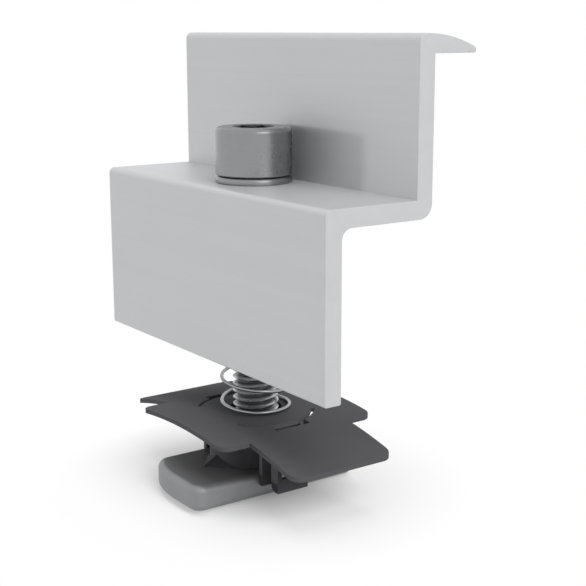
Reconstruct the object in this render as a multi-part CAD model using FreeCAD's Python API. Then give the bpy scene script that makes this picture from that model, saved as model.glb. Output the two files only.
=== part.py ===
"""Solar end clamp: an extruded Z profile that a socket-head screw pulls down onto a slotted channel
rail. A slot nut and a moulded rail clip hold the clamp in the slot, and a spring keeps it up until
the module is under its lip.

Millimetres, +Z up. The origin is on the screw's axis, in the plane of the slot nut's top face, which
pulls up against the rail's lips. X runs along the extrusion, +Y points at the module."""

import FreeCAD, Part

import math
import os

V = FreeCAD.Vector

# Clamp profile: one aluminium extrusion, a lower leg, a flange, an upper leg and a lip
profile_length = 67.4
profile_wall = 3.0
profile_width = 20.2
foot_height = 29.5
upper_height = 24.6
lip_reach = 8.2
lip_thickness = 2.95
lip_tip_thickness = 0.85
foot_above_nut = 19.0
screw_hole_diameter = 9.0
extrusion_edge_radius = 0.3
flange_edge_radius = 1.0
leg_root_radius = 1.8
knee_radius = 2.3
shoulder_radius = 1.23
crown_setback = 1.3
lip_tip_radius = 0.35

# Cap screw, M8 x 55
screw_diameter = 8.0
screw_length = 55.0
screw_thread_length = 28.0
screw_thread_relief = 0.08
screw_tip_chamfer = 0.9
head_diameter = 13.0
head_height = 8.0
head_edge_radius = 0.8
socket_across_flats = 6.0
socket_depth = 4.4
socket_rim_chamfer = 0.25
socket_drill_depth = 1.0

# Lock washer, split once
washer_outer_diameter = 13.0
washer_bore_diameter = 8.3
washer_thickness = 1.3
washer_split_gap = 0.9
washer_split_lean = 30.0
washer_split_direction = 35.0
washer_edge_radius = 0.2

# Spring, left-hand, closed at both ends
spring_mean_radius = 5.97
spring_wire_diameter = 0.62
spring_active_turns = 7.93
spring_lower_closed_turns = 0.62
spring_upper_closed_turns = 1.0
spring_blend_turns = 0.12
spring_start_angle = 145.0
spring_steps_per_turn = 22
spring_wire_sides = 8

# Rail clip, one moulding
clip_arm_length = 51.6
clip_arm_width = 20.2
clip_wing_length = 26.8
clip_wing_width = 31.2
clip_corner_radius = 2.1
clip_thickness = 0.75
clip_arch_radius = 98.0
clip_crest_height = 8.8
boss_diameter = 16.4
boss_bore_diameter = 9.0
slit_inner_radius = 9.7
slit_width = 0.65
slit_start_angle = -52.0
slit_end_angle = 52.0
window_inner_x = 9.5
window_outer_x = 11.4
window_half_width = 3.5
finger_thickness = 0.9
finger_width = 2.4
finger_outer_y = 5.1
finger_drop = 2.0
hook_inner_x = 12.0
hook_outer_x = 14.0
hook_front_y = -5.0
hook_back_y = 1.1
hook_wall = 0.8
hook_bar_height = 2.4
hook_corner_radius = 1.2
lug_reach = 2.75
lug_height = 1.9
lug_half_width = 4.3
lug_root_depth = 0.6

# Slot nut
nut_length = 35.4
nut_width = 17.0
nut_thickness = 4.5
nut_sweep_width = 9.4
nut_sweep_length = 3.8
nut_trailing_radius = 2.3
nut_edge_radius = 1.2

# Clearances between pieces
finger_to_nut = 0.1
nut_to_screw = 0.05
washer_to_underhead = 0.03

# How far a cutter runs past what it cuts, and how near an edge lies to the place it is picked by
overcut = 1.0
near = 0.001

# Places that follow from the sizes above
half_width = profile_width / 2
foot_z = foot_above_nut
flange_top_z = foot_z + foot_height
flange_under_z = flange_top_z - profile_wall
lip_top_z = flange_top_z + upper_height
lip_under_z = lip_top_z - lip_thickness
lip_tip_y = half_width + lip_reach
head_under_z = flange_top_z + washer_thickness
head_top_z = head_under_z + head_height
screw_tip_z = head_under_z - screw_length
thread_top_z = screw_tip_z + screw_thread_length
clip_under_z = clip_crest_height - clip_thickness
underhead_radius = (washer_bore_diameter - screw_diameter) / 2 - washer_to_underhead


def polygon_face(points):
    """Flat face through the points, closed back to the first one."""
    return Part.Face(Part.makePolygon(points + points[:1]))


def box(x0, x1, y0, y1, z0, z1):
    return Part.makeBox(x1 - x0, y1 - y0, z1 - z0, V(x0, y0, z0))


def cylinder(radius, z0, z1):
    return Part.makeCylinder(radius, z1 - z0, V(0, 0, z0))


def turned_half(shape):
    """The same shape turned half a turn about the screw's axis."""
    copy = shape.copy()
    copy.rotate(V(0, 0, 0), V(0, 0, 1), 180)
    return copy


def edges_along_x(shape, y, z):
    """Straight edges that run along X through the point (y, z)."""
    found = []
    for edge in shape.Edges:
        box_of_edge = edge.BoundBox
        centre = edge.CenterOfMass
        if box_of_edge.YLength < near and box_of_edge.ZLength < near:
            if abs(centre.y - y) < near and abs(centre.z - z) < near:
                found.append(edge)
    return found


def clamp_profile():
    """Z section drawn in the Y-Z plane and extruded along X."""
    outer = -half_width
    inner = outer + profile_wall
    web = half_width - profile_wall
    lip_tip_z = lip_under_z + lip_tip_thickness
    crown_y = web + crown_setback
    crown_drop = lip_top_z - lip_tip_z
    crown_run = lip_tip_y - crown_y
    crown_radius = (crown_run ** 2 + crown_drop ** 2) / (2 * crown_drop)
    half_turn = math.asin(crown_run / crown_radius) / 2
    crown_mid_y = crown_y + crown_radius * math.sin(half_turn)
    crown_mid_z = lip_top_z - crown_radius * (1 - math.cos(half_turn))

    corners = [
        V(0, lip_tip_y, lip_tip_z),
        V(0, lip_tip_y, lip_under_z),
        V(0, half_width, lip_under_z),
        V(0, half_width, flange_under_z),
        V(0, inner, flange_under_z),
        V(0, inner, foot_z),
        V(0, outer, foot_z),
        V(0, outer, flange_top_z),
        V(0, web, flange_top_z),
        V(0, web, lip_top_z),
        V(0, crown_y, lip_top_z),
    ]
    edges = [Part.LineSegment(a, b).toShape() for a, b in zip(corners[:-1], corners[1:])]
    crown = Part.Arc(corners[-1], V(0, crown_mid_y, crown_mid_z), corners[0])
    section = Part.Face(Part.Wire(edges + [crown.toShape()]))
    section.translate(V(-profile_length / 2, 0, 0))
    body = section.extrude(V(profile_length, 0, 0))

    roundings = [
        (outer, flange_top_z, flange_edge_radius),
        (inner, flange_under_z, leg_root_radius),
        (half_width, flange_under_z, knee_radius),
        (web, lip_top_z, shoulder_radius),
        (lip_tip_y, lip_tip_z, lip_tip_radius),
        (lip_tip_y, lip_under_z, lip_tip_radius),
        (outer, foot_z, extrusion_edge_radius),
        (inner, foot_z, extrusion_edge_radius),
    ]
    for y, z, radius in roundings:
        body = body.makeFillet(radius, edges_along_x(body, y, z))

    hole = cylinder(screw_hole_diameter / 2, flange_under_z - overcut, flange_top_z + overcut)
    return body.cut(hole)


def cap_screw():
    """Turned head, plain shank and thread zone, with a hexagon socket."""
    radius = screw_diameter / 2
    thread_radius = radius - screw_thread_relief
    head_radius = head_diameter / 2
    outline = [
        V(0, 0, screw_tip_z),
        V(thread_radius - screw_tip_chamfer, 0, screw_tip_z),
        V(thread_radius, 0, screw_tip_z + screw_tip_chamfer),
        V(thread_radius, 0, thread_top_z),
        V(radius, 0, thread_top_z + screw_thread_relief),
        V(radius, 0, head_under_z - underhead_radius),
        V(radius + underhead_radius, 0, head_under_z),
        V(head_radius, 0, head_under_z),
        V(head_radius, 0, head_top_z),
        V(0, 0, head_top_z),
    ]
    body = polygon_face(outline).revolve(V(0, 0, 0), V(0, 0, 1), 360)
    rim = [
        edge
        for edge in body.Edges
        if abs(edge.BoundBox.ZMin - head_top_z) < near and abs(edge.BoundBox.XMax - head_radius) < near
    ]
    body = body.makeFillet(head_edge_radius, rim)

    corner_radius = socket_across_flats / math.sqrt(3)
    socket_floor_z = head_top_z - socket_depth
    corners = []
    for side in range(6):
        angle = 2 * math.pi * side / 6
        corners.append(V(corner_radius * math.cos(angle), corner_radius * math.sin(angle), socket_floor_z))
    socket = polygon_face(corners).extrude(V(0, 0, socket_depth + overcut))
    drill_point = Part.makeCone(
        0, socket_across_flats / 2, socket_drill_depth, V(0, 0, socket_floor_z - socket_drill_depth)
    )
    countersink = Part.makeCone(
        corner_radius - socket_rim_chamfer,
        corner_radius + socket_rim_chamfer,
        2 * socket_rim_chamfer,
        V(0, 0, head_top_z - socket_rim_chamfer),
    )
    return body.cut(socket).cut(drill_point).cut(countersink)


def lock_washer():
    """Flat ring with one leaning split, which lies away from the lower leg."""
    ring = cylinder(washer_outer_diameter / 2, flange_top_z, head_under_z)
    rims = [edge for edge in ring.Edges if edge.BoundBox.XLength > washer_outer_diameter / 2]
    rims = [edge for edge in rims if edge.BoundBox.ZLength < near]
    ring = ring.makeFillet(washer_edge_radius, rims)
    ring = ring.cut(cylinder(washer_bore_diameter / 2, flange_top_z - overcut, head_under_z + overcut))
    lean = washer_thickness * math.tan(math.radians(washer_split_lean))
    reach = washer_outer_diameter
    mid_z = (flange_top_z + head_under_z) / 2
    low_x = -washer_split_gap / 2 - lean
    high_x = -washer_split_gap / 2 + lean
    slot = polygon_face([
        V(low_x, 0, mid_z - washer_thickness),
        V(low_x + washer_split_gap, 0, mid_z - washer_thickness),
        V(high_x + washer_split_gap, 0, mid_z + washer_thickness),
        V(high_x, 0, mid_z + washer_thickness),
    ]).extrude(V(0, reach, 0))
    slot.rotate(V(0, 0, 0), V(0, 0, 1), washer_split_direction)
    return ring.cut(slot)


def spring_height(turn, total_turns, low, high):
    """Height of the wire's centre after so many turns: flat end coils, even pitch between."""
    active_low = low + spring_lower_closed_turns * spring_wire_diameter
    active_high = high - spring_upper_closed_turns * spring_wire_diameter
    if turn <= spring_lower_closed_turns:
        return low + turn * spring_wire_diameter
    if turn >= total_turns - spring_upper_closed_turns:
        return high - (total_turns - turn) * spring_wire_diameter
    share = (turn - spring_lower_closed_turns) / spring_active_turns
    return active_low + (active_high - active_low) * share


def spring():
    """Round wire wound left-handed from the clip's crest to the flange's underside."""
    wire_radius = spring_wire_diameter / 2
    total_turns = spring_lower_closed_turns + spring_active_turns + spring_upper_closed_turns
    low = clip_crest_height + wire_radius
    high = flange_under_z - wire_radius
    steps = round(total_turns * spring_steps_per_turn)
    sections = []
    for step in range(steps + 1):
        turn = total_turns * step / steps
        angle = math.radians(spring_start_angle) - 2 * math.pi * turn
        before = spring_height(turn - spring_blend_turns, total_turns, low, high)
        after = spring_height(turn + spring_blend_turns, total_turns, low, high)
        height = min(max((before + after) / 2, low), high)
        outward = V(math.cos(angle), math.sin(angle), 0)
        ring = []
        for side in range(spring_wire_sides):
            lean = 2 * math.pi * (side + 0.5) / spring_wire_sides
            away = outward * (spring_mean_radius + wire_radius * math.cos(lean))
            ring.append(away + V(0, 0, height + wire_radius * math.sin(lean)))
        sections.append(Part.makePolygon(ring + ring[:1]))
    return Part.makeLoft(sections, True, True)


def rounded_plate(length, width, radius, z0, z1):
    """Upright prism over a rectangle with round corners."""
    plate = box(-length / 2, length / 2, -width / 2, width / 2, z0, z1)
    corners = [edge for edge in plate.Edges if edge.BoundBox.ZLength > (z1 - z0) / 2]
    return plate.makeFillet(radius, corners)


def arch_cylinder(radius):
    """Cylinder along Y under the plate, with the plate's arch as its top."""
    reach = clip_wing_width / 2 + overcut
    centre = V(0, -reach, clip_crest_height - clip_arch_radius)
    return Part.makeCylinder(radius, 2 * reach, centre, V(0, 1, 0))


def arch_drop(x):
    """How far the arch falls from its crest at that distance from the middle."""
    return clip_arch_radius - math.sqrt(clip_arch_radius ** 2 - x ** 2)


def slit_cutter(start):
    """Narrow ring-shaped slit through the plate, from the start angle on."""
    outer_radius = slit_inner_radius + slit_width
    low = clip_under_z - arch_drop(outer_radius) - overcut
    high = clip_crest_height + overcut
    sweep = slit_end_angle - slit_start_angle
    outer = Part.makeCylinder(outer_radius, high - low, V(0, 0, low), V(0, 0, 1), sweep)
    outer.rotate(V(0, 0, 0), V(0, 0, 1), start)
    return outer.cut(cylinder(slit_inner_radius, low, high))


def clip_lug():
    """Three-sided lug low on the boss that centres the clip in the rail's slot."""
    root_y = -boss_diameter / 2 + lug_root_depth
    tip = V(0, -boss_diameter / 2 - lug_reach, 0)
    top = V(0, root_y, lug_height)
    left = V(-lug_half_width, root_y, 0)
    right = V(lug_half_width, root_y, 0)
    faces = [
        polygon_face([left, tip, right]),
        polygon_face([left, tip, top]),
        polygon_face([tip, right, top]),
        polygon_face([right, left, top]),
    ]
    return Part.Solid(Part.Shell(faces))


def clip_fingers(under):
    """Two fingers on the +X side that hold the nut's flank square to the clip."""
    inner_x = nut_width / 2 + finger_to_nut
    outer_x = inner_x + finger_thickness
    inner_y = finger_outer_y - finger_width
    front = box(inner_x, outer_x, -finger_outer_y, -inner_y, -finger_drop, clip_crest_height)
    back = box(inner_x, outer_x, inner_y, finger_outer_y, -finger_drop, clip_crest_height)
    return front.fuse(back).common(under)


def clip_hook(under):
    """Angle-shaped hook on the +X side: a riser from the plate and a bar along it."""
    riser = box(hook_inner_x, hook_outer_x, hook_front_y, hook_front_y + hook_wall, -finger_drop, clip_crest_height)
    bar_top = hook_bar_height - finger_drop
    bar = box(hook_outer_x - hook_wall, hook_outer_x, hook_front_y, hook_back_y, -finger_drop, bar_top)
    hook = riser.fuse(bar).removeSplitter()
    heel = [
        edge
        for edge in hook.Edges
        if edge.BoundBox.XLength < near
        and edge.BoundBox.ZLength < near
        and abs(edge.CenterOfMass.x - hook_inner_x) < near
        and abs(edge.CenterOfMass.z + finger_drop) < near
    ]
    hook = hook.makeFillet(hook_corner_radius, heel)
    return hook.common(under)


def rail_clip():
    """Arched cross-shaped plate with a boss, centring lugs, fingers and hooks under it."""
    top = clip_crest_height + overcut
    low = clip_under_z - arch_drop(clip_arm_length / 2) - overcut
    arm = rounded_plate(clip_arm_length, clip_arm_width, clip_corner_radius, low, top)
    wing = rounded_plate(clip_wing_length, clip_wing_width, clip_corner_radius, low, top)
    band = arch_cylinder(clip_arch_radius).cut(arch_cylinder(clip_arch_radius - clip_thickness))
    plate = arm.fuse(wing).removeSplitter().common(band)

    window = box(window_inner_x, window_outer_x, -window_half_width, window_half_width, low, top)
    plate = plate.cut(slit_cutter(slit_start_angle)).cut(slit_cutter(slit_start_angle + 180))
    plate = plate.cut(window).cut(turned_half(window))

    under = arch_cylinder(clip_arch_radius - clip_thickness / 2)
    boss = cylinder(boss_diameter / 2, 0, clip_crest_height).common(under)
    fingers = clip_fingers(under)
    hook = clip_hook(under)
    lug = clip_lug()
    body = plate.multiFuse([
        boss, fingers, turned_half(fingers), hook, turned_half(hook), lug, turned_half(lug),
    ])
    body = body.cut(cylinder(boss_bore_diameter / 2, -overcut, top))
    return body.removeSplitter()


def slot_nut():
    """Long nut whose leading corners sweep back, so it can turn a quarter turn in the rail."""
    x = nut_width / 2
    y = nut_length / 2
    sweep_x = nut_sweep_width - x
    sweep_y = nut_sweep_length - y
    sweep_oval = Part.Ellipse(V(sweep_x, sweep_y, 0), nut_sweep_width, nut_sweep_length)
    counter_oval = Part.Ellipse(V(-sweep_x, -sweep_y, 0), nut_sweep_width, nut_sweep_length)
    sweep = Part.ArcOfEllipse(sweep_oval, math.pi, 1.5 * math.pi)
    counter = Part.ArcOfEllipse(counter_oval, 0, 0.5 * math.pi)
    outline = Part.Wire([
        sweep.toShape(),
        Part.LineSegment(V(sweep_x, -y, 0), V(x, -y, 0)).toShape(),
        Part.LineSegment(V(x, -y, 0), V(x, -sweep_y, 0)).toShape(),
        counter.toShape(),
        Part.LineSegment(V(-sweep_x, y, 0), V(-x, y, 0)).toShape(),
        Part.LineSegment(V(-x, y, 0), V(-x, sweep_y, 0)).toShape(),
    ])
    body = Part.Face(outline).extrude(V(0, 0, -nut_thickness))
    square = [
        edge
        for edge in body.Edges
        if abs(abs(edge.CenterOfMass.x) - x) < near and abs(abs(edge.CenterOfMass.y) - y) < near
    ]
    body = body.makeFillet(nut_trailing_radius, square)
    rims = [edge for edge in body.Edges if edge.BoundBox.ZLength < nut_thickness / 2]
    body = body.makeFillet(nut_edge_radius, rims)
    bore = cylinder(screw_diameter / 2 + nut_to_screw, -nut_thickness - overcut, overcut)
    return body.cut(bore)


def main():
    pieces = {
        "clamp_profile": clamp_profile(),
        "cap_screw": cap_screw(),
        "lock_washer": lock_washer(),
        "spring": spring(),
        "rail_clip": rail_clip(),
        "slot_nut": slot_nut(),
    }
    os.makedirs("parts", exist_ok=True)
    for name, shape in pieces.items():
        solids = shape.Solids
        if len(solids) == 1:
            shape = solids[0]
        shape.exportStep("parts/" + name + ".step")
        size = shape.BoundBox
        print(name, len(solids), shape.isValid(), round(shape.Volume, 1),
              round(size.XLength, 2), round(size.YLength, 2), round(size.ZLength, 2))


main()
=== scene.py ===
"""Solar end clamp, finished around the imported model.

Metres, +Z up. The origin is on the screw's axis, in the plane of the slot nut's top face. X runs
along the extrusion and +Y points at the module."""

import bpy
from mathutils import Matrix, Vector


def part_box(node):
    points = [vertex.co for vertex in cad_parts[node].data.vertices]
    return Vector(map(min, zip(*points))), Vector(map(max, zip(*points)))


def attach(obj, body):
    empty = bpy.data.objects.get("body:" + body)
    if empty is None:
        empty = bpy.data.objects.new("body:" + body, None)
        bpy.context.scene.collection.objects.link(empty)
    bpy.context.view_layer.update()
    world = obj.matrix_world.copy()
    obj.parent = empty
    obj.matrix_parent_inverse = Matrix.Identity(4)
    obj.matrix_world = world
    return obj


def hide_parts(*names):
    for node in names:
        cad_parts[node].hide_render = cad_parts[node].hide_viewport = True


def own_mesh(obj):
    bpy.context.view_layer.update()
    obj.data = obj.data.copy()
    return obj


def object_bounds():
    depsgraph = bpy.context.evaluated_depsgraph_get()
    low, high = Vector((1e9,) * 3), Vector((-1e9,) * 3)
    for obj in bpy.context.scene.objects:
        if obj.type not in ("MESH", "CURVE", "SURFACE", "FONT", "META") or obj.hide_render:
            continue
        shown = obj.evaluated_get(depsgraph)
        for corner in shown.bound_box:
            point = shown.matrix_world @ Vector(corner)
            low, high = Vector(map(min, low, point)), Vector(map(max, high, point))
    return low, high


bl_info = {
    "name": "Solar end clamp",
    "version": (1, 0, 0),
    "blender": (4, 5, 0),
    "location": "View3D > Sidebar > End clamp",
    "description": "Models and finishes the pieces of a solar end clamp around its packed model",
    "category": "Object",
}

import math

import bmesh
import bpy
from mathutils import Matrix, Quaternion, Vector

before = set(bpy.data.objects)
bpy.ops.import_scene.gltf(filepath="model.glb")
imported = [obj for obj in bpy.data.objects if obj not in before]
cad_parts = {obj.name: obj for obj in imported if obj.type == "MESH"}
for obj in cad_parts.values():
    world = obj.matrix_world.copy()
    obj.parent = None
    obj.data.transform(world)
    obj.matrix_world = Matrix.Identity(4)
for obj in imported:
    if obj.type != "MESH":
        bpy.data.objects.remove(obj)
cad_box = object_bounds()

MM = 0.001
NEAR = 1e-6
profile_low, profile_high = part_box("clamp_profile")
screw_low, screw_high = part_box("cap_screw")
washer_low, washer_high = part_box("lock_washer")
spring_low, spring_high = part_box("spring")

# Shares of the thread's diameter and pitch
THREAD_DEPTH = 0.6134
CREST_REACH = 0.47
GROOVE_REACH = 0.45
FADE_TURNS = 1.5
# One groove of the thread: share of the pitch along it, share of the depth into it
GROOVE = (
    (0, 0.06), (0.03, 0), (0.095, 0), (0.125, 0.06),
    (0.475, 0.93), (0.52, 1), (0.605, 1), (0.65, 0.93), (1, 0.06),
)
# Painted shade in the socket, painted highlight on the thread's crests and painted shade in its grooves, as
# shares of the steel's own colour
SOCKET_PAINTED_SHADE = 0.18
CREST_PAINTED_HIGHLIGHT = 1.7
GROOVE_PAINTED_SHADE = 0.6
# Shape of the socket's rim and of the drilled cone below it
COUNTERSINK_SLOPE = math.tan(math.radians(30))
DRILL_SHARE = 0.97
# The shoulder's bevel stops short of the crown's first cut
SHOULDER_SHARE = 0.95
CROWN_CUTS = 12
WASHER_STEPS = 90
SENSOR_WIDTH = 36


def length(name, description, millimetres):
    """A size that a user may change, given in millimetres and kept in metres."""
    return bpy.props.FloatProperty(
        name=name, description=description, default=millimetres * MM, min=0, precision=5, unit="LENGTH"
    )


def colour(name, description, value):
    return bpy.props.FloatVectorProperty(
        name=name, description=description, default=value, size=3, min=0, max=1, subtype="COLOR"
    )


def share(name, description, value):
    return bpy.props.FloatProperty(
        name=name, description=description, default=value, min=0, max=1, subtype="FACTOR"
    )


def count(name, description, value):
    return bpy.props.IntProperty(name=name, description=description, default=value, min=1)


def angle(name, description, degrees):
    return bpy.props.FloatProperty(
        name=name, description=description, default=math.radians(degrees), subtype="ANGLE"
    )


class ProfileSettings(bpy.types.PropertyGroup):
    """Sizes and finish of the aluminium extrusion"""

    width: length("Width", "Width of the flange across the extrusion", 20.2)
    wall: length("Wall", "Thickness of the flange and of both legs", 3.0)
    lip: length("Lip", "Thickness of the lip at its root", 2.95)
    lip_tip: length("Lip tip", "Thickness of the lip at its tip", 0.85)
    hole: length("Screw hole", "Diameter of the hole for the screw", 9.0)
    hole_edge: length("Hole edge", "Chamfer on the rims of the hole", 0.15)
    flange_edge: length("Flange edge", "Radius along the flange's outer edge", 1.0)
    leg_root: length("Leg root", "Radius between the flange and the lower leg", 1.8)
    knee: length("Knee", "Radius under the upper leg", 2.3)
    shoulder: length("Shoulder", "Radius at the top of the upper leg", 1.3)
    tip_edge: length("Tip edge", "Radius of both edges of the lip's tip", 0.35)
    foot_edge: length("Foot edge", "Radius of both edges of the foot", 0.3)
    sawn_edge: length("Sawn edge", "Deburred edge round the sawn ends", 0.1)
    metal: colour("Aluminium", "Colour of the mill-finished aluminium", (0.59, 0.594, 0.604))
    roughness: share("Roughness", "Roughness of the aluminium", 0.46)


class ScrewSettings(bpy.types.PropertyGroup):
    """Sizes and finish of the cap screw"""

    diameter: length("Thread", "Outer diameter of the thread and shank", 8.0)
    pitch: length("Pitch", "Distance between turns of the thread", 1.25)
    thread_length: length("Thread length", "Length of the thread from the tip", 28.0)
    tip_chamfer: length("Tip chamfer", "Chamfer on the screw's tip", 0.9)
    head: length("Head", "Diameter of the head", 13.0)
    head_height: length("Head height", "Height of the head", 8.0)
    head_edge: length("Head edge", "Radius round the top of the head", 0.8)
    foot_edge: length("Foot edge", "Radius round the underside of the head", 0.25)
    underhead: length("Under head", "Radius between the shank and the head", 0.4)
    socket: length("Socket", "Width of the hexagon socket across its flats", 6.0)
    socket_depth: length("Socket depth", "Depth of the socket", 4.4)
    countersink: length("Countersink", "Radius of the socket's countersunk rim", 3.6)
    drill_point: length("Drill point", "Depth of the drilled cone below the socket", 1.0)
    columns: count("Columns", "Faces round the screw, a multiple of six", 72)
    metal: colour("Steel", "Colour of the steel", (0.285, 0.287, 0.294))
    roughness: share("Roughness", "Roughness of the steel", 0.28)


class WasherSettings(bpy.types.PropertyGroup):
    """Sizes and finish of the split washer"""

    bore: length("Bore", "Diameter of the hole", 8.3)
    lower_edge: length("Lower edge", "Radius of the outer edge below", 0.2)
    upper_edge: length("Upper edge", "Radius of the outer edge above", 0.8)
    split: length("Split", "Width of the split", 0.9)
    lean: angle("Lean", "Lean of the split", 30)
    split_direction: angle("Split direction", "Direction of the split from +X", 125)
    metal: colour("Steel", "Colour of the steel", (0.285, 0.287, 0.294))
    roughness: share("Roughness", "Roughness of the steel", 0.3)


class SpringSettings(bpy.types.PropertyGroup):
    """Sizes and finish of the spring"""

    wire: length("Wire", "Diameter of the wire", 0.62)
    fillet_room: length(
        "Fillet room", "Room above the wire that clears the leg's root as the clamp swivels", 0.2
    )
    active_turns: bpy.props.FloatProperty(
        name="Active turns", description="Turns between the closed ends", default=7.93, min=1
    )
    lower_turns: bpy.props.FloatProperty(
        name="Lower turns", description="Closed turns at the lower end", default=0.62, min=0
    )
    upper_turns: bpy.props.FloatProperty(
        name="Upper turns", description="Closed turns at the upper end", default=1.0, min=0
    )
    blend_turns: bpy.props.FloatProperty(
        name="Blend", description="Turns over which the pitch changes", default=0.12, min=0
    )
    start: angle("Start", "Direction of the wire's lower end from +X", 145)
    points: count("Points", "Points on each turn of the wire", 40)
    travel: length("Travel", "Stroke of the clamp that the spring takes up", 9.5)
    metal: colour("Wire", "Colour of the spring wire", (0.36, 0.365, 0.375))
    roughness: share("Roughness", "Roughness of the wire", 0.3)


class ClipSettings(bpy.types.PropertyGroup):
    """Finish of the moulded rail clip"""

    plastic: colour("Plastic", "Colour of the dark plastic", (0.093, 0.092, 0.098))
    roughness: share("Roughness", "Roughness of the plastic", 0.75)


class NutSettings(bpy.types.PropertyGroup):
    """Finish of the slot nut"""

    metal: colour("Metal", "Colour of the cast metal", (0.28, 0.282, 0.288))
    roughness: share("Roughness", "Roughness of the metal", 0.5)


class StageSettings(bpy.types.PropertyGroup):
    """Camera, lamps and floor"""

    lens: bpy.props.FloatProperty(name="Lens", description="Focal length on a 36 mm sensor", default=73.67)
    azimuth: angle("Azimuth", "Side from which the camera looks", 54.65)
    elevation: angle("Elevation", "How far the camera looks down", 12.42)
    roll: angle("Roll", "Turn of the camera about its own line of sight", -0.11)
    camera: bpy.props.FloatVectorProperty(
        name="Camera", description="Place of the camera", default=(0.1687, -0.1116, 0.0737),
        subtype="TRANSLATION",
    )
    floor: colour("Floor", "Colour of the floor", (0.85, 0.85, 0.85))
    bounce: colour("Bounce", "Colour with which the floor lights the clamp from below", (0.45, 0.45, 0.45))
    # The floor's grey disc round the screw is a painted soft shadow; this is how far it reaches.
    painted_shadow_reach: length("Halo", "Distance from the screw at which the floor has run out into white", 45)
    world: bpy.props.FloatProperty(name="World", description="Strength of the even light", default=0.06)
    lamp_distance: length("Lamp distance", "Distance of the lamps from the clamp", 1500)
    key: bpy.props.FloatProperty(name="Key", description="Power of the low key lamp in watts", default=11.0)
    side: bpy.props.FloatProperty(name="Side", description="Power of the side lamp in watts", default=21.5)
    top: bpy.props.FloatProperty(name="Top", description="Power of the overhead lamp in watts", default=13.8)
    glint: bpy.props.FloatProperty(
        name="Glint", description="Power of the lamp that only shines in edges, in watts", default=3.0
    )


class Link:
    """A shader value that takes arithmetic, so that a pattern is written as a sum."""

    def __init__(self, finish, socket):
        self.finish = finish
        self.socket = socket

    def maths(self, operation, *values):
        return self.finish.add("ShaderNodeMath", {"operation": operation}, dict(enumerate(values)))

    def __add__(self, other):
        return self.maths("ADD", self, other)

    def __radd__(self, other):
        return self.maths("ADD", other, self)

    def __sub__(self, other):
        return self.maths("SUBTRACT", self, other)

    def __rsub__(self, other):
        return self.maths("SUBTRACT", other, self)

    def __mul__(self, other):
        return self.maths("MULTIPLY", self, other)

    def __rmul__(self, other):
        return self.maths("MULTIPLY", other, self)

    def __pow__(self, other):
        return self.maths("POWER", self, other)


class Finish:
    """A material that is put together from nodes."""

    def __init__(self, name):
        self.material = bpy.data.materials.new(name)
        self.material.use_nodes = True
        self.tree = self.material.node_tree
        self.tree.nodes.clear()

    def add(self, kind, settings=None, inputs=None, output=0):
        node = self.tree.nodes.new(kind)
        for name, value in (settings or {}).items():
            if name == "stops":
                self.set_stops(node.color_ramp, value)
            else:
                setattr(node, name, value)
        for name, value in (inputs or {}).items():
            if isinstance(value, Link):
                self.tree.links.new(value.socket, node.inputs[name])
            else:
                node.inputs[name].default_value = value
        return Link(self, node.outputs[output])

    def set_stops(self, ramp, stops):
        while len(ramp.elements) < len(stops):
            ramp.elements.new(1)
        for element, (position, level) in zip(ramp.elements, stops):
            element.position = position
            element.color = (level, level, level, 1)

    def place(self, stretch):
        """Object coordinates, multiplied so that one unit is one grain of the pattern."""
        spot = self.add("ShaderNodeTexCoord", output="Object")
        return self.add("ShaderNodeVectorMath", {"operation": "MULTIPLY"}, {0: spot, 1: stretch})

    def noise(self, stretch, detail=2.0):
        inputs = {"Vector": self.place(stretch), "Scale": 1.0, "Detail": detail}
        return self.add("ShaderNodeTexNoise", {}, inputs)

    def ramp(self, value, stops):
        return self.add("ShaderNodeValToRGB", {"stops": stops}, {0: value})

    def mix(self, mask, low, high):
        """Colour between low and high as the mask goes from 0 to 1."""
        return self.add("ShaderNodeMix", {"data_type": "RGBA"}, {0: mask, 6: low, 7: high}, output=2)

    def tint(self, mask, tone, least, most):
        """One tone, between its darkest and its lightest share as the mask goes from 0 to 1."""
        return self.mix(mask, shaded(tone, least), shaded(tone, most))

    def bump(self, height, strength, distance):
        inputs = {"Height": height, "Strength": strength, "Distance": distance}
        return self.add("ShaderNodeBump", {}, inputs, output="Normal")

    def surface(self, inputs):
        shader = self.add("ShaderNodeBsdfPrincipled", {}, inputs)
        self.add_output(shader)
        return self.material

    def add_output(self, shader):
        node = self.tree.nodes.new("ShaderNodeOutputMaterial")
        self.tree.links.new(shader.socket, node.inputs["Surface"])


def shaded(tone, factor):
    """The same colour, lighter or darker."""
    return (*(min(channel * factor, 1) for channel in tone), 1)


def aluminium(settings):
    """Mill finish: faint drawn lines along the extrusion and soft cloudiness."""
    finish = Finish("mill_aluminium")
    lines = finish.noise((25, 2200, 2200), 3.0)
    broad = finish.noise((8, 420, 420), 2.0)
    cloud = finish.noise((60, 60, 60), 2.0)
    mask = 0.5 * lines + 0.3 * broad + 0.2 * cloud
    tone = finish.tint(mask, settings.metal, 0.93, 1.07)
    roughness = settings.roughness - 0.06 + 0.12 * lines
    normal = finish.bump(lines, 0.12, 0.00002)
    return finish.surface({
        "Base Color": tone, "Metallic": 0.56, "Roughness": roughness, "Normal": normal,
    })


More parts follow.
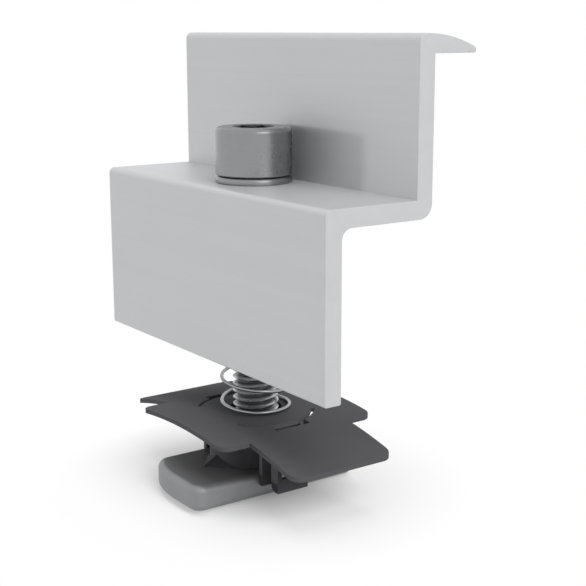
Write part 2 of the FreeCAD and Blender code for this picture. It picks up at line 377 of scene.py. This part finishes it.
def bare_steel(name, settings):
    """Turned steel with fine scuffs; a screw also gets painted shade in its socket, a painted highlight on
    its thread crests and painted shade in its grooves.
    """
    finish = Finish(name)
    turned = finish.noise((200, 200, 4200), 2.0)
    scuffs = finish.noise((900, 900, 900), 3.0)
    tone = finish.tint(0.6 * turned + 0.4 * scuffs, settings.metal, 0.94, 1.06)
    if hasattr(settings, "socket"):
        spot = finish.add("ShaderNodeTexCoord", output="Object")
        x, y, z = (finish.add("ShaderNodeSeparateXYZ", {}, {0: spot}, output=axis) for axis in "XYZ")
        square = x * x + y * y
        head = z.maths("GREATER_THAN", z, screw_high.z - settings.head_height)
        thread = z.maths("LESS_THAN", z, screw_low.z + settings.thread_length)
        inside = square.maths("LESS_THAN", square, settings.countersink ** 2)
        crest = square.maths("GREATER_THAN", square, (CREST_REACH * settings.diameter) ** 2)
        groove = square.maths("LESS_THAN", square, (GROOVE_REACH * settings.diameter) ** 2)
        # Painted shade: the socket and its countersunk rim are darkened where the recess lies in shade.
        tone = finish.mix(inside * head, tone, shaded(settings.metal, SOCKET_PAINTED_SHADE))
        # Painted highlight along the thread's crests and painted shade down in its grooves.
        tone = finish.mix(crest * thread, tone, shaded(settings.metal, CREST_PAINTED_HIGHLIGHT))
        tone = finish.mix(groove * thread, tone, shaded(settings.metal, GROOVE_PAINTED_SHADE))
    roughness = settings.roughness - 0.03 + 0.06 * scuffs
    return finish.surface({"Base Color": tone, "Metallic": 1.0, "Roughness": roughness})


def dark_plastic(settings):
    """Matte moulded plastic: a fine spark-eroded grain and faint flow clouds."""
    finish = Finish("dark_plastic")
    grain = finish.noise((3200, 3200, 3200), 3.0)
    cloud = finish.noise((90, 90, 90), 2.0)
    tone = finish.tint(0.5 * grain + 0.5 * cloud, settings.plastic, 0.85, 1.15)
    roughness = settings.roughness - 0.06 + 0.12 * grain
    normal = finish.bump(grain, 0.3, 0.00003)
    return finish.surface({
        "Base Color": tone, "Roughness": roughness, "Specular IOR Level": 0.14, "Normal": normal,
    })


def cast_metal(settings):
    """Tumbled casting: a fine pitted skin with broad tonal clouds."""
    finish = Finish("cast_metal")
    skin = finish.noise((1700, 1700, 1700), 4.0)
    pits = finish.ramp(finish.noise((700, 700, 700), 2.0), [(0.62, 0), (0.75, 1)])
    cloud = finish.noise((110, 110, 110), 2.0)
    mask = 0.5 * skin + 0.5 * cloud
    tone = finish.tint(mask, settings.metal, 0.85, 1.18)
    roughness = settings.roughness - 0.06 + 0.12 * skin
    normal = finish.bump(skin - 0.6 * pits, 0.3, 0.00004)
    return finish.surface({
        "Base Color": tone, "Metallic": 0.7, "Roughness": roughness, "Normal": normal,
    })


def pick(piece):
    """Leaves only this piece selected and active."""
    bpy.ops.object.select_all(action="DESELECT")
    piece.select_set(True)
    bpy.context.view_layer.objects.active = piece


def start_edit(piece, mode):
    pick(piece)
    bpy.ops.object.mode_set(mode="EDIT")
    bpy.ops.mesh.select_mode(type=mode)
    bpy.ops.mesh.select_all(action="DESELECT")


def end_edit():
    bpy.ops.object.mode_set(mode="OBJECT")


def select_faces(piece, wanted):
    """Selects the faces whose centre and normal pass the test."""
    mesh = bmesh.from_edit_mesh(piece.data)
    for face in mesh.faces:
        face.select_set(wanted(face.calc_center_median(), face.normal))
    mesh.select_flush(True)
    bmesh.update_edit_mesh(piece.data)


def select_edges(piece, wanted):
    """Selects the edges whose two ends pass the test together."""
    mesh = bmesh.from_edit_mesh(piece.data)
    for edge in mesh.edges:
        edge.select_set(wanted(edge.verts[0].co, edge.verts[1].co))
    bmesh.update_edit_mesh(piece.data)


def apply_modifier(piece, kind, settings):
    modifier = piece.modifiers.new(kind.title(), kind)
    for name, value in settings.items():
        setattr(modifier, name, value)
    pick(piece)
    bpy.ops.object.modifier_apply(modifier=modifier.name)


def close_mesh(piece, threshold=NEAR):
    """Merges doubles and turns every face outwards."""
    start_edit(piece, "VERT")
    bpy.ops.mesh.select_all(action="SELECT")
    bpy.ops.mesh.remove_doubles(threshold=threshold)
    bpy.ops.mesh.normals_make_consistent(inside=False)
    end_edit()


def smooth(piece, degrees=35):
    """Smooth shading that keeps flat faces flat."""
    pick(piece)
    bpy.ops.object.shade_smooth_by_angle(angle=math.radians(degrees))
    apply_modifier(piece, "WEIGHTED_NORMAL", {"keep_sharp": True, "weight": 80})


def dress(piece, body, node, material):
    """Gives a finished piece its material and its place on the frame."""
    piece.data.materials.clear()
    piece.data.materials.append(material)
    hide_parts(node)
    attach(piece, body)


def draw_line(name, points):
    """Chain of edges through the points, drawn by extruding one vertex."""
    bpy.ops.object.select_all(action="DESELECT")
    bpy.ops.mesh.primitive_plane_add(size=MM)
    line = bpy.context.object
    line.name = name
    bpy.ops.object.mode_set(mode="EDIT")
    bpy.ops.mesh.select_mode(type="VERT")
    bpy.ops.mesh.select_all(action="SELECT")
    bpy.ops.mesh.merge(type="CENTER")
    bpy.ops.transform.translate(value=points[0])
    for before, after in zip(points, points[1:]):
        step = Vector(after) - Vector(before)
        bpy.ops.mesh.extrude_region_move(TRANSFORM_OT_translate={"value": step})
    end_edit()
    return line


def next_ring(old, new):
    """Extrudes the selected ring about the screw's axis, from one radius and height to the next."""
    rise = new[1] - old[1]
    bpy.ops.mesh.extrude_region_move(TRANSFORM_OT_translate={"value": (0, 0, rise)})
    scale = new[0] / old[0]
    bpy.ops.transform.resize(value=(scale, scale, 1), center_override=(0, 0, new[1]))


def quarter_arc(centre_radius, centre_height, radius, start, end, steps):
    """Points of an arc in the radius and height plane, between two angles in degrees."""
    points = []
    for step in range(steps + 1):
        turn = math.radians(start + (end - start) * step / steps)
        points.append((centre_radius + radius * math.cos(turn), centre_height + radius * math.sin(turn)))
    return points


class ENDCLAMP_OT_profile(bpy.types.Operator):
    """Models the aluminium extrusion and its screw hole"""

    bl_idname = "end_clamp.profile"
    bl_label = "Clamp profile"

    def execute(self, context):
        settings = context.scene.end_clamp_profile
        self.half = settings.width / 2
        self.flange_top = washer_low.z
        self.flange_under = self.flange_top - settings.wall
        self.lip_under = profile_high.z - settings.lip
        piece = self.block_out(settings)
        self.crown_lip(piece, settings)
        self.round_edges(piece, settings)
        self.drill(piece, settings)
        smooth(piece)
        dress(piece, "clamp", "clamp_profile", aluminium(settings))
        return {"FINISHED"}

    def block_out(self, settings):
        """Flange first, then the lower leg, the upper leg and the lip are extruded from it."""
        middle = (self.flange_top + self.flange_under) / 2
        bpy.ops.object.select_all(action="DESELECT")
        bpy.ops.mesh.primitive_cube_add(size=1, location=(0, 0, middle))
        piece = bpy.context.object
        piece.name = "clamp_extrusion"
        piece.dimensions = (profile_high.x - profile_low.x, settings.width, settings.wall)
        bpy.ops.object.transform_apply(location=True, rotation=True, scale=True)

        leg_inner = -self.half + settings.wall
        web_inner = self.half - settings.wall
        start_edit(piece, "FACE")
        for place in (leg_inner, web_inner):
            bpy.ops.mesh.select_all(action="SELECT")
            bpy.ops.mesh.bisect(plane_co=(0, place, 0), plane_no=(0, 1, 0))

        select_faces(piece, lambda centre, normal: normal.z < -0.5 and centre.y < leg_inner)
        bpy.ops.mesh.extrude_region_move(
            TRANSFORM_OT_translate={"value": (0, 0, profile_low.z - self.flange_under)}
        )
        select_faces(piece, lambda centre, normal: normal.z > 0.5 and centre.y > web_inner)
        for rise in (self.lip_under - self.flange_top, settings.lip):
            bpy.ops.mesh.extrude_region_move(TRANSFORM_OT_translate={"value": (0, 0, rise)})
        select_faces(piece, lambda centre, normal: normal.y > 0.5 and centre.z > self.lip_under)
        bpy.ops.mesh.extrude_region_move(
            TRANSFORM_OT_translate={"value": (0, profile_high.y - self.half, 0)}
        )
        end_edit()
        return piece

    def crown_lip(self, piece, settings):
        """Cuts the lip across and drops its top along an arc towards the tip."""
        crown_start = self.half - settings.wall + settings.shoulder
        run = profile_high.y - crown_start
        drop = settings.lip - settings.lip_tip
        radius = (run ** 2 + drop ** 2) / (2 * drop)
        start_edit(piece, "FACE")
        for cut in range(CROWN_CUTS):
            place = crown_start + run * cut / CROWN_CUTS
            select_faces(piece, lambda centre, normal: centre.z > self.lip_under - NEAR)
            bpy.ops.mesh.bisect(plane_co=(0, place, 0), plane_no=(0, 1, 0))
        mesh = bmesh.from_edit_mesh(piece.data)
        for vertex in mesh.verts:
            along = vertex.co.y - crown_start
            if along > 0 and vertex.co.z > profile_high.z - NEAR:
                vertex.co.z = profile_high.z - radius + math.sqrt(radius ** 2 - along ** 2)
        bmesh.update_edit_mesh(piece.data)
        end_edit()

    def round_edges(self, piece, settings):
        """Rounds the long edges one by one, then deburrs the sawn ends."""
        half = self.half
        tip_z = self.lip_under + settings.lip_tip
        long_edges = (
            (-half, self.flange_top, settings.flange_edge, 8),
            (-half + settings.wall, self.flange_under, settings.leg_root, 10),
            (half, self.flange_under, settings.knee, 12),
            (half - settings.wall, profile_high.z, settings.shoulder * SHOULDER_SHARE, 8),
            (profile_high.y, tip_z, settings.tip_edge, 4),
            (profile_high.y, self.lip_under, settings.tip_edge, 4),
            (-half, profile_low.z, settings.foot_edge, 4),
            (-half + settings.wall, profile_low.z, settings.foot_edge, 4),
        )
        start_edit(piece, "EDGE")
        for y, z, radius, segments in long_edges:
            select_edges(piece, lambda a, b: all(math.hypot(p.y - y, p.z - z) < 10 * NEAR for p in (a, b)))
            bpy.ops.mesh.bevel(offset=radius, offset_type="OFFSET", segments=segments, affect="EDGES")
        for end in (profile_low.x, profile_high.x):
            select_edges(piece, lambda a, b: all(abs(p.x - end) < NEAR for p in (a, b)))
            bpy.ops.mesh.bevel(offset=settings.sawn_edge, offset_type="OFFSET", segments=2, affect="EDGES")
        end_edit()

    def drill(self, piece, settings):
        """Bores the screw hole and breaks its two rims."""
        radius = settings.hole / 2
        middle = (self.flange_top + self.flange_under) / 2
        bpy.ops.object.select_all(action="DESELECT")
        bpy.ops.mesh.primitive_cylinder_add(
            vertices=96, radius=radius, depth=2 * settings.wall, location=(0, 0, middle)
        )
        drill = bpy.context.object
        apply_modifier(piece, "BOOLEAN", {"operation": "DIFFERENCE", "object": drill, "solver": "EXACT"})
        bpy.data.objects.remove(drill)
        start_edit(piece, "EDGE")
        for level in (self.flange_top, self.flange_under):
            select_edges(piece, lambda a, b: all(
                abs(p.z - level) < NEAR and abs(math.hypot(p.x, p.y) - radius) < NEAR for p in (a, b)
            ))
            bpy.ops.mesh.bevel(offset=settings.hole_edge, offset_type="OFFSET", segments=2, affect="EDGES")
        end_edit()


class ENDCLAMP_OT_screw(bpy.types.Operator):
    """Models the cap screw with its thread and hexagon socket"""

    bl_idname = "end_clamp.screw"
    bl_label = "Cap screw"

    def execute(self, context):
        settings = context.scene.end_clamp_screw
        self.radius = settings.diameter / 2
        self.head_under = screw_high.z - settings.head_height
        piece = self.cut_thread(settings)
        self.close_tip(piece)
        self.raise_head(piece, settings)
        close_mesh(piece)
        smooth(piece, 40)
        dress(piece, "screw", "cap_screw", bare_steel("screw_steel", settings))
        return {"FINISHED"}

    def cut_thread(self, settings):
        """One groove's outline, screwed up the shank and trimmed at both ends."""
        pitch = settings.pitch
        depth = THREAD_DEPTH * pitch
        tip = screw_low.z
        self.thread_top = tip + settings.thread_length
        start = tip - 2 * pitch
        points = [(self.radius - depth * cut, 0, start + pitch * along) for along, cut in GROOVE]
        piece = draw_line("screw_body", points)
        turns = math.ceil(settings.thread_length / pitch) + 3
        apply_modifier(piece, "SCREW", {
            "axis": "Z", "angle": 2 * math.pi, "screw_offset": pitch, "iterations": turns,
            "steps": settings.columns, "render_steps": settings.columns, "use_merge_vertices": True,
            "merge_threshold": NEAR,
        })
        for vertex in piece.data.vertices:
            x, y, z = vertex.co
            reach = math.hypot(x, y)
            z = min(max(z, tip), self.thread_top)
            fade = min((self.thread_top - z) / (FADE_TURNS * pitch), 1)
            fade = fade * fade * (3 - 2 * fade)
            wanted = self.radius + (reach - self.radius) * fade
            wanted = min(wanted, self.radius - settings.tip_chamfer + z - tip)
            vertex.co = (x * wanted / reach, y * wanted / reach, z)
        start_edit(piece, "VERT")
        bpy.ops.mesh.select_all(action="SELECT")
        bpy.ops.mesh.remove_doubles(threshold=2 * NEAR)
        end_edit()
        return piece

    def select_ring(self, piece, height):
        """Selects the open ring of edges at a height."""
        mesh = bmesh.from_edit_mesh(piece.data)
        for edge in mesh.edges:
            edge.select_set(edge.is_boundary and all(abs(v.co.z - height) < NEAR for v in edge.verts))
        bmesh.update_edit_mesh(piece.data)

    def close_tip(self, piece):
        start_edit(piece, "EDGE")
        self.select_ring(piece, screw_low.z)
        bpy.ops.mesh.edge_face_add()
        end_edit()

    def raise_head(self, piece, settings):
        """Extrudes the shank, the head and the socket ring by ring."""
        radius = self.radius
        head = settings.head / 2
        top = screw_high.z
        rings = [(radius, self.thread_top)]
        rings += quarter_arc(radius + settings.underhead, self.head_under - settings.underhead,
                             settings.underhead, 180, 90, 4)
        rings += quarter_arc(head - settings.foot_edge, self.head_under + settings.foot_edge,
                             settings.foot_edge, -90, 0, 3)
        rings += quarter_arc(head - settings.head_edge, top - settings.head_edge,
                             settings.head_edge, 0, 90, 8)
        rings.append((settings.countersink, top))
        start_edit(piece, "EDGE")
        self.select_ring(piece, self.thread_top)
        for old, new in zip(rings, rings[1:]):
            next_ring(old, new)

        rim = settings.countersink
        next_ring((rim, top), (rim * 0.99, top))
        self.make_hexagon(piece, settings, lambda corner: top - (rim - corner) * COUNTERSINK_SLOPE)
        floor = top - settings.socket_depth
        next_ring((rim, floor), (rim, floor))
        self.make_hexagon(piece, settings, lambda corner: floor)
        bore = settings.socket / 2 * DRILL_SHARE
        next_ring((rim, floor), (rim, floor))
        self.make_circle(piece, bore, floor)
        next_ring((bore, floor), (bore * 0.5, floor - settings.drill_point / 2))
        bpy.ops.mesh.extrude_region_move(
            TRANSFORM_OT_translate={"value": (0, 0, -settings.drill_point / 2)}
        )
        bpy.ops.mesh.merge(type="CENTER")
        end_edit()

    def make_hexagon(self, piece, settings, height):
        """Moves the selected ring onto the socket's hexagon."""
        mesh = bmesh.from_edit_mesh(piece.data)
        for vertex in mesh.verts:
            if vertex.select:
                turn = math.atan2(vertex.co.y, vertex.co.x)
                side = (turn + 2 * math.pi) % (math.pi / 3) - math.pi / 6
                corner = settings.socket / 2 / math.cos(side)
                vertex.co = (corner * math.cos(turn), corner * math.sin(turn), height(corner))
        bmesh.update_edit_mesh(piece.data)

    def make_circle(self, piece, radius, height):
        mesh = bmesh.from_edit_mesh(piece.data)
        for vertex in mesh.verts:
            if vertex.select:
                reach = math.hypot(vertex.co.x, vertex.co.y)
                vertex.co = (vertex.co.x * radius / reach, vertex.co.y * radius / reach, height)
        bmesh.update_edit_mesh(piece.data)


class ENDCLAMP_OT_washer(bpy.types.Operator):
    """Models the split washer"""

    bl_idname = "end_clamp.washer"
    bl_label = "Split washer"

    def execute(self, context):
        settings = context.scene.end_clamp_washer
        inner = settings.bore / 2
        outer = washer_high.x
        low, high = settings.lower_edge, settings.upper_edge
        bottom, top = washer_low.z, washer_high.z
        middle = (bottom + top) / 2
        outline = [(inner + low / 2, bottom)]
        outline += quarter_arc(outer - low, bottom + low, low, -90, 0, 4)
        outline += quarter_arc(outer - high, top - high, high, 0, 90, 6)
        outline += [(inner + low / 2, top), (inner, top - low / 2), (inner, bottom + low / 2)]
        gap = settings.split / ((inner + outer) / 2)
        # The spin runs clockwise, so it starts before the split and leaves the gap round its middle
        start = settings.split_direction - gap / 2
        points = [(r * math.cos(start), r * math.sin(start), z) for r, z in outline + outline[:1]]
        piece = draw_line("split_washer", points)
        start_edit(piece, "VERT")
        bpy.ops.mesh.select_all(action="SELECT")
        bpy.ops.mesh.remove_doubles(threshold=NEAR)
        bpy.ops.mesh.spin(steps=WASHER_STEPS, angle=2 * math.pi - gap, center=(0, 0, 0), axis=(0, 0, 1))
        bpy.ops.mesh.select_all(action="SELECT")
        bpy.ops.mesh.remove_doubles(threshold=NEAR)
        bpy.ops.mesh.select_all(action="DESELECT")
        bpy.ops.mesh.select_mode(type="EDGE")
        bpy.ops.mesh.select_non_manifold()
        bpy.ops.mesh.edge_face_add()
        end_edit()
        slope = math.tan(settings.lean) / ((inner + outer) / 2)
        for vertex in piece.data.vertices:
            turn = Matrix.Rotation(-slope * (vertex.co.z - middle), 3, "Z")
            vertex.co = turn @ vertex.co
        close_mesh(piece)
        smooth(piece, 40)
        dress(piece, "washer", "lock_washer", bare_steel("washer_steel", settings))
        return {"FINISHED"}


class ENDCLAMP_OT_spring(bpy.types.Operator):
    """Winds the spring between the rail clip and the flange"""

    bl_idname = "end_clamp.spring"
    bl_label = "Spring"

    def execute(self, context):
        settings = context.scene.end_clamp_spring
        radius = settings.wire / 2
        mean = spring_high.x - radius
        turns = settings.lower_turns + settings.active_turns + settings.upper_turns
        self.low = spring_low.z + radius
        self.high = spring_high.z - radius - settings.fillet_room
        steps = round(turns * settings.points)
        curve = bpy.data.curves.new("spring_wire", "CURVE")
        curve.dimensions = "3D"
        curve.bevel_depth = radius
        curve.bevel_resolution = 4
        curve.use_fill_caps = True
        curve.twist_mode = "MINIMUM"
        wire = curve.splines.new("POLY")
        wire.points.add(steps)
        for step, point in enumerate(wire.points):
            turn = turns * step / steps
            before = self.height(settings, turn - settings.blend_turns, turns)
            after = self.height(settings, turn + settings.blend_turns, turns)
            level = min(max((before + after) / 2, self.low), self.high)
            direction = settings.start - 2 * math.pi * turn
            point.co = (mean * math.cos(direction), mean * math.sin(direction), level, 1)
        piece = bpy.data.objects.new("spring_wire", curve)
        context.collection.objects.link(piece)
        pick(piece)
        bpy.ops.object.convert(target="MESH")
        piece = context.object
        close_mesh(piece)
        smooth(piece, 50)
        material = bare_steel("spring_steel", settings)
        dress(piece, "rail_unit", "spring", material)
        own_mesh(piece)
        return {"FINISHED"}

    def height(self, settings, turn, turns):
        """Height of the wire's centre: closed coils at both ends and an even pitch between."""
        active_low = self.low + settings.lower_turns * settings.wire
        active_high = self.high - settings.upper_turns * settings.wire
        if turn <= settings.lower_turns:
            return self.low + turn * settings.wire
        if turn >= turns - settings.upper_turns:
            return self.high - (turns - turn) * settings.wire
        risen = (turn - settings.lower_turns) / settings.active_turns
        return active_low + (active_high - active_low) * risen


def merged_copy(node, name):
    """The CAD node's faces joined into one closed mesh, in a new piece."""
    piece = bpy.data.objects.new(name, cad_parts[node].data.copy())
    bpy.context.collection.objects.link(piece)
    start_edit(piece, "VERT")
    bpy.ops.mesh.select_all(action="SELECT")
    bpy.ops.mesh.customdata_custom_splitnormals_clear()
    bpy.ops.mesh.remove_doubles(threshold=NEAR)
    end_edit()
    return piece


class ENDCLAMP_OT_clip(bpy.types.Operator):
    """Finishes the moulded rail clip"""

    bl_idname = "end_clamp.clip"
    bl_label = "Rail clip"

    def execute(self, context):
        settings = context.scene.end_clamp_clip
        piece = merged_copy("rail_clip", "clip_moulding")
        smooth(piece, 30)
        dress(piece, "rail_unit", "rail_clip", dark_plastic(settings))
        return {"FINISHED"}


class ENDCLAMP_OT_nut(bpy.types.Operator):
    """Finishes the slot nut"""

    bl_idname = "end_clamp.nut"
    bl_label = "Slot nut"

    def execute(self, context):
        settings = context.scene.end_clamp_nut
        piece = merged_copy("slot_nut", "nut_casting")
        smooth(piece, 40)
        dress(piece, "rail_unit", "slot_nut", cast_metal(settings))
        return {"FINISHED"}


class ENDCLAMP_OT_stage(bpy.types.Operator):
    """Sets up the floor, the lamps and the camera"""

    bl_idname = "end_clamp.stage"
    bl_label = "Stage"

    def execute(self, context):
        settings = context.scene.end_clamp_stage
        context.scene.view_settings.view_transform = "Standard"
        self.lay_floor(settings)
        self.light_world(context, settings)
        for name, size, direction in (
            ("key", 0.08, (-0.806, -0.592, 0.03)),
            ("side", 1.0, (0.82, -0.05, 0.54)),
            ("top", 1.0, (0.05, 0, 1)),
        ):
            lamp = self.hang_lamp(context, name, getattr(settings, name), size, direction)
            lamp.visible_glossy = False
        glint = self.hang_lamp(context, "glint", settings.glint, 0.8, (0.87, 0, 0.45))
        glint.visible_diffuse = False
        self.aim_camera(context, settings)
        return {"FINISHED"}

    def lay_floor(self, settings):
        """Pale floor under the lowest point, which runs out into plain white away from the clamp; the grey
        disc round the clamp, where the white fades out, is painted shadow, and the lamps' shadows inside it
        are real.
        """
        bpy.ops.object.select_all(action="DESELECT")
        bpy.ops.mesh.primitive_plane_add(size=4, location=(0, 0, cad_box[0].z))
        floor = bpy.context.object
        floor.name = "floor"
        finish = Finish("pale_floor")
        matte = finish.add("ShaderNodeBsdfDiffuse", {}, {"Color": (*settings.floor, 1)})
        bounce = finish.add("ShaderNodeBsdfDiffuse", {}, {"Color": (*settings.bounce, 1)})
        white = finish.add("ShaderNodeEmission", {}, {"Color": (1, 1, 1, 1), "Strength": 1.0})
        reach = finish.place((1 / settings.painted_shadow_reach,) * 3)
        near = finish.add("ShaderNodeTexGradient", {"gradient_type": "SPHERICAL"}, {"Vector": reach})
        # Painted shadow: near the clamp the floor's white fades out and leaves the lit matte floor as a soft
        # grey disc.
        painted_shadow_disc = finish.ramp(near, [(0.15, 0), (0.85, 0.85)])
        shown = finish.add("ShaderNodeMixShader", {}, {0: painted_shadow_disc, 1: white, 2: matte})
        seen = sum(
            finish.add("ShaderNodeLightPath", output=kind)
            for kind in ("Is Camera Ray", "Is Glossy Ray", "Is Transmission Ray")
        )
        finish.add_output(finish.add("ShaderNodeMixShader", {}, {0: seen, 1: bounce, 2: shown}))
        floor.data.materials.append(finish.material)

    def light_world(self, context, settings):
        world = bpy.data.worlds.new("studio")
        world.use_nodes = True
        context.scene.world = world
        tree = world.node_tree
        tree.nodes.clear()
        output = tree.nodes.new("ShaderNodeOutputWorld")
        mix = tree.nodes.new("ShaderNodeMixShader")
        soft = tree.nodes.new("ShaderNodeBackground")
        soft.inputs["Strength"].default_value = settings.world
        white = tree.nodes.new("ShaderNodeBackground")
        for background in (soft, white):
            background.inputs["Color"].default_value = (1, 1, 1, 1)
        path = tree.nodes.new("ShaderNodeLightPath")
        seen = path.outputs["Is Camera Ray"]
        for kind in ("Is Glossy Ray", "Is Transmission Ray"):
            either = tree.nodes.new("ShaderNodeMath")
            tree.links.new(seen, either.inputs[0])
            tree.links.new(path.outputs[kind], either.inputs[1])
            seen = either.outputs[0]
        tree.links.new(seen, mix.inputs[0])
        tree.links.new(soft.outputs[0], mix.inputs[1])
        tree.links.new(white.outputs[0], mix.inputs[2])
        tree.links.new(mix.outputs[0], output.inputs[0])

    def hang_lamp(self, context, name, power, size, direction):
        """Square lamp that shines at the middle of the object from a direction."""
        middle = (cad_box[0] + cad_box[1]) / 2
        away = Vector(direction).normalized()
        data = bpy.data.lights.new(name, "AREA")
        data.energy = power
        data.size = size
        lamp = bpy.data.objects.new(name, data)
        context.collection.objects.link(lamp)
        lamp.location = middle + away * context.scene.end_clamp_stage.lamp_distance
        lamp.rotation_mode = "QUATERNION"
        lamp.rotation_quaternion = (-away).to_track_quat("-Z", "Y")
        return lamp

    def aim_camera(self, context, settings):
        data = bpy.data.cameras.new("camera")
        data.lens = settings.lens
        data.sensor_width = SENSOR_WIDTH
        data.clip_start = 0.01
        camera = bpy.data.objects.new("camera", data)
        context.collection.objects.link(camera)
        around, down = settings.azimuth, settings.elevation
        back = Vector((math.sin(around) * math.cos(down), -math.cos(around) * math.cos(down), math.sin(down)))
        camera.location = settings.camera
        camera.rotation_mode = "QUATERNION"
        aim = (-back).to_track_quat("-Z", "Y")
        camera.rotation_quaternion = aim @ Quaternion((0, 0, 1), settings.roll)
        context.scene.camera = camera


class ENDCLAMP_PT_panel(bpy.types.Panel):
    """Lists the pieces of the end clamp"""

    bl_label = "End clamp"
    bl_idname = "ENDCLAMP_PT_panel"
    bl_space_type = "VIEW_3D"
    bl_region_type = "UI"
    bl_category = "End clamp"

    def draw(self, context):
        for operator in OPERATORS:
            self.layout.operator(operator.bl_idname)


SETTINGS = {
    "end_clamp_profile": ProfileSettings,
    "end_clamp_screw": ScrewSettings,
    "end_clamp_washer": WasherSettings,
    "end_clamp_spring": SpringSettings,
    "end_clamp_clip": ClipSettings,
    "end_clamp_nut": NutSettings,
    "end_clamp_stage": StageSettings,
}
OPERATORS = (
    ENDCLAMP_OT_profile,
    ENDCLAMP_OT_screw,
    ENDCLAMP_OT_washer,
    ENDCLAMP_OT_spring,
    ENDCLAMP_OT_clip,
    ENDCLAMP_OT_nut,
    ENDCLAMP_OT_stage,
)


def register():
    for name, group in SETTINGS.items():
        bpy.utils.register_class(group)
        setattr(bpy.types.Scene, name, bpy.props.PointerProperty(type=group))
    for cls in (*OPERATORS, ENDCLAMP_PT_panel):
        bpy.utils.register_class(cls)


def unregister():
    for cls in (ENDCLAMP_PT_panel, *reversed(OPERATORS)):
        bpy.utils.unregister_class(cls)
    for name, group in reversed(SETTINGS.items()):
        delattr(bpy.types.Scene, name)
        bpy.utils.unregister_class(group)


def main():
    register()
    bpy.ops.end_clamp.profile()
    bpy.ops.end_clamp.screw()
    bpy.ops.end_clamp.washer()
    bpy.ops.end_clamp.spring()
    bpy.ops.end_clamp.clip()
    bpy.ops.end_clamp.nut()
    bpy.ops.end_clamp.stage()


if __name__ == "__main__":
    main()
